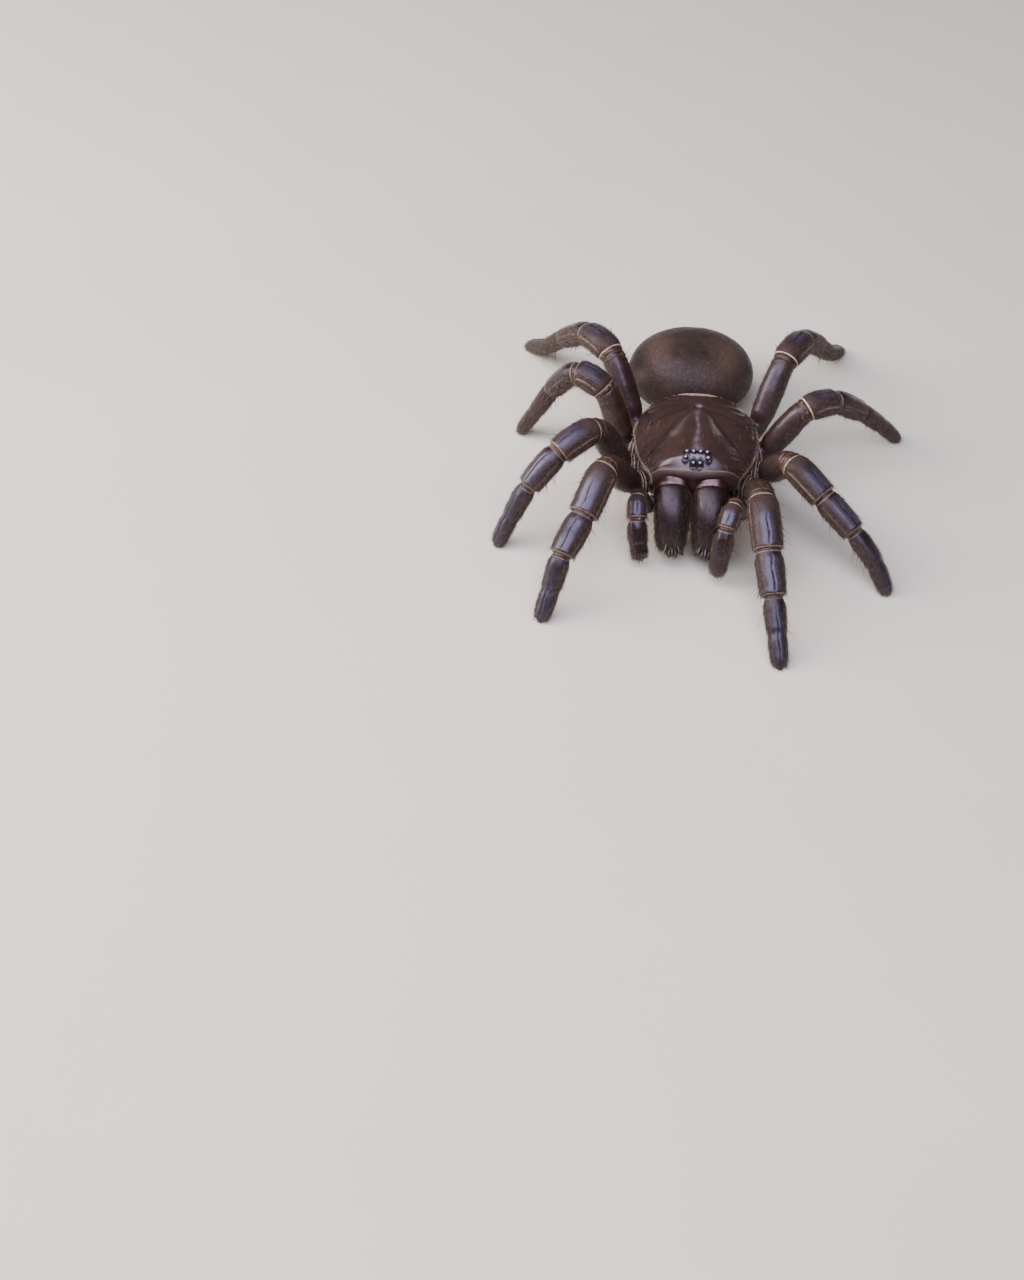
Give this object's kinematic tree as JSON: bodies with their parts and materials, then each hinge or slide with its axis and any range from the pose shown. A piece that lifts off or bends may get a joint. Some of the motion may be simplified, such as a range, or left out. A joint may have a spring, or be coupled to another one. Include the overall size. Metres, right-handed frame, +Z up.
{
  "type": "trapdoor spider",
  "caption": "Still life-size model of a stout glossy brown trapdoor spider, standing with its knees raised and its fangs folded under deep jaws.",
  "frame": {"origin": "on the floor, under the middle of the whole stance's box", "axes": "+Z up; the spider looks along -Y; +X is the spider's left"},
  "size_m": [0.0921, 0.1087, 0.0262],
  "materials": {
    "carapace_chitin": "glossy dark chocolate-brown chitin",
    "limb_chitin": "satin dark brown chitin with a cool sheen",
    "jaw_chitin": "satin brown chitin with short hair",
    "abdomen_skin": "velvety grey-brown skin",
    "fang_chitin": "polished near-black chitin",
    "eye_lens": "wet black lens"
  },
  "bodies": {
    "root": {"abdomen": "abdomen_skin", "carapace": "carapace_chitin", "chelicera_left": "jaw_chitin", "chelicera_right": "jaw_chitin", "eye_front_middle_left": "eye_lens", "eye_front_middle_right": "eye_lens", "eye_front_side_left": "eye_lens", "eye_front_side_right": "eye_lens", "eye_rear_middle_left": "eye_lens", "eye_rear_middle_right": "eye_lens", "eye_rear_side_left": "eye_lens", "eye_rear_side_right": "eye_lens", "fang_left": "fang_chitin", "fang_right": "fang_chitin", "leg_1_left_femur": "limb_chitin", "leg_1_left_foot": "limb_chitin", "leg_1_left_patella": "limb_chitin", "leg_1_left_tibia": "limb_chitin", "leg_1_right_femur": "limb_chitin", "leg_1_right_foot": "limb_chitin", "leg_1_right_patella": "limb_chitin", "leg_1_right_tibia": "limb_chitin", "leg_2_left_femur": "limb_chitin", "leg_2_left_foot": "limb_chitin", "leg_2_left_patella": "limb_chitin", "leg_2_left_tibia": "limb_chitin", "leg_2_right_femur": "limb_chitin", "leg_2_right_foot": "limb_chitin", "leg_2_right_patella": "limb_chitin", "leg_2_right_tibia": "limb_chitin", "leg_3_left_femur": "limb_chitin", "leg_3_left_foot": "limb_chitin", "leg_3_left_patella": "limb_chitin", "leg_3_left_tibia": "limb_chitin", "leg_3_right_femur": "limb_chitin", "leg_3_right_foot": "limb_chitin", "leg_3_right_patella": "limb_chitin", "leg_3_right_tibia": "limb_chitin", "leg_4_left_femur": "limb_chitin", "leg_4_left_foot": "limb_chitin", "leg_4_left_patella": "limb_chitin", "leg_4_left_tibia": "limb_chitin", "leg_4_right_femur": "limb_chitin", "leg_4_right_foot": "limb_chitin", "leg_4_right_patella": "limb_chitin", "leg_4_right_tibia": "limb_chitin", "palp_left_femur": "limb_chitin", "palp_left_patella": "limb_chitin", "palp_left_tip": "limb_chitin", "palp_right_femur": "limb_chitin", "palp_right_patella": "limb_chitin", "palp_right_tip": "limb_chitin", "spinneret_left": "abdomen_skin", "spinneret_right": "abdomen_skin", "spinneret_short_left": "abdomen_skin", "spinneret_short_right": "abdomen_skin", "sternum": "limb_chitin"}
  },
  "joints": []
}
